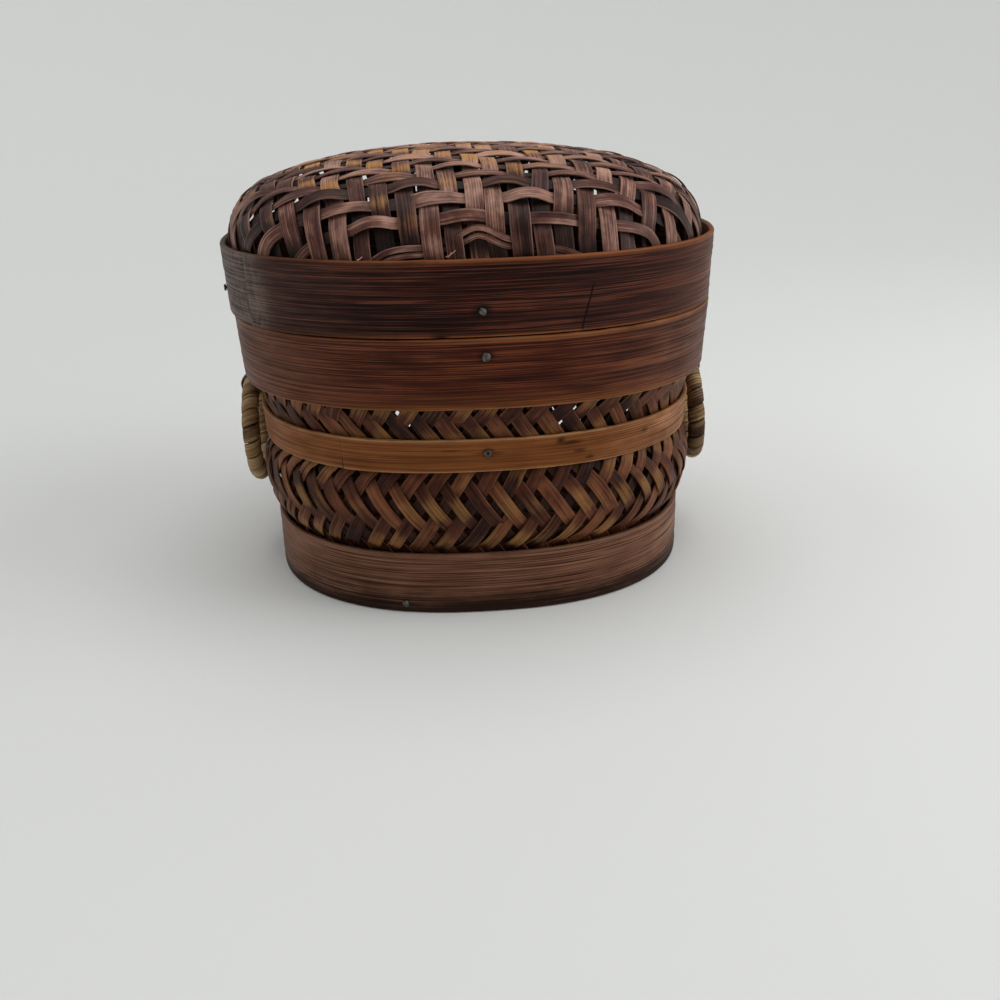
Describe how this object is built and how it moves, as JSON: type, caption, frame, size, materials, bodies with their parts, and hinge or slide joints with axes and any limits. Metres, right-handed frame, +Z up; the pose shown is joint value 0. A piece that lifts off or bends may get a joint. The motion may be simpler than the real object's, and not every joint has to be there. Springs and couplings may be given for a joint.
{
  "type": "wicker trinket box",
  "caption": "Lidded wicker box of plaited bamboo with bamboo hoops, a lift-off domed lid and hinged cane ring handles, for keeping small things.",
  "frame": {"origin": "centre of the box on the table, under its foot hoop", "axes": "+X to the box's right ring handle, -Y towards the front with the column of nail heads, +Z up"},
  "size_m": [0.1605, 0.147, 0.1348],
  "materials": {
    "plaited_body": "satin",
    "plaited_lid": "satin",
    "foot_bamboo": "satin",
    "waist_bamboo": "satin",
    "rim_bamboo": "satin",
    "lid_bamboo": "satin",
    "inner_bamboo": "matte",
    "cane_core": "matte",
    "cane_wrap": "matte",
    "nail_steel": "dull"
  },
  "bodies": {
    "basket": {"body_weave": "plaited_body", "foot_hoop": "foot_bamboo", "foot_inner_hoop": "inner_bamboo", "waist_hoop": "waist_bamboo", "waist_inner_hoop": "inner_bamboo", "rim_hoop": "rim_bamboo", "rim_collar": "inner_bamboo", "rim_nail_front": "nail_steel", "rim_nail_back": "nail_steel", "rim_nail_left": "nail_steel", "rim_nail_right": "nail_steel", "waist_nail_front": "nail_steel", "waist_nail_back": "nail_steel", "foot_nail_front": "nail_steel", "foot_nail_back": "nail_steel", "foot_nail_left": "nail_steel", "foot_nail_right": "nail_steel", "ring_loop_left": "cane_core", "ring_loop_right": "cane_core"},
    "lid": {"lid_weave": "plaited_lid", "lid_hoop": "lid_bamboo", "lid_inner_hoop": "inner_bamboo", "lid_nail_front": "nail_steel", "lid_nail_back": "nail_steel", "lid_nail_left": "nail_steel", "lid_nail_right": "nail_steel"},
    "ring_left": {"ring_core_left": "cane_core", "ring_wrap_left": "cane_wrap"},
    "ring_right": {"ring_core_right": "cane_core", "ring_wrap_right": "cane_wrap"}
  },
  "joints": [
    {"name": "lid_lift", "type": "slide", "parent": "basket", "child": "lid", "axis": [0, 0, 1], "range_m": [0, 0.09]},
    {"name": "ring_left_swing", "type": "hinge", "parent": "basket", "child": "ring_left", "pos_m": [-0.0757, 0, 0.0588], "axis": [0, 1, 0], "range_deg": [0, 95]},
    {"name": "ring_right_swing", "type": "hinge", "parent": "basket", "child": "ring_right", "pos_m": [0.07555, 0, 0.0588], "axis": [-0.0854, -0.9963, 0], "range_deg": [0, 95]}
  ]
}
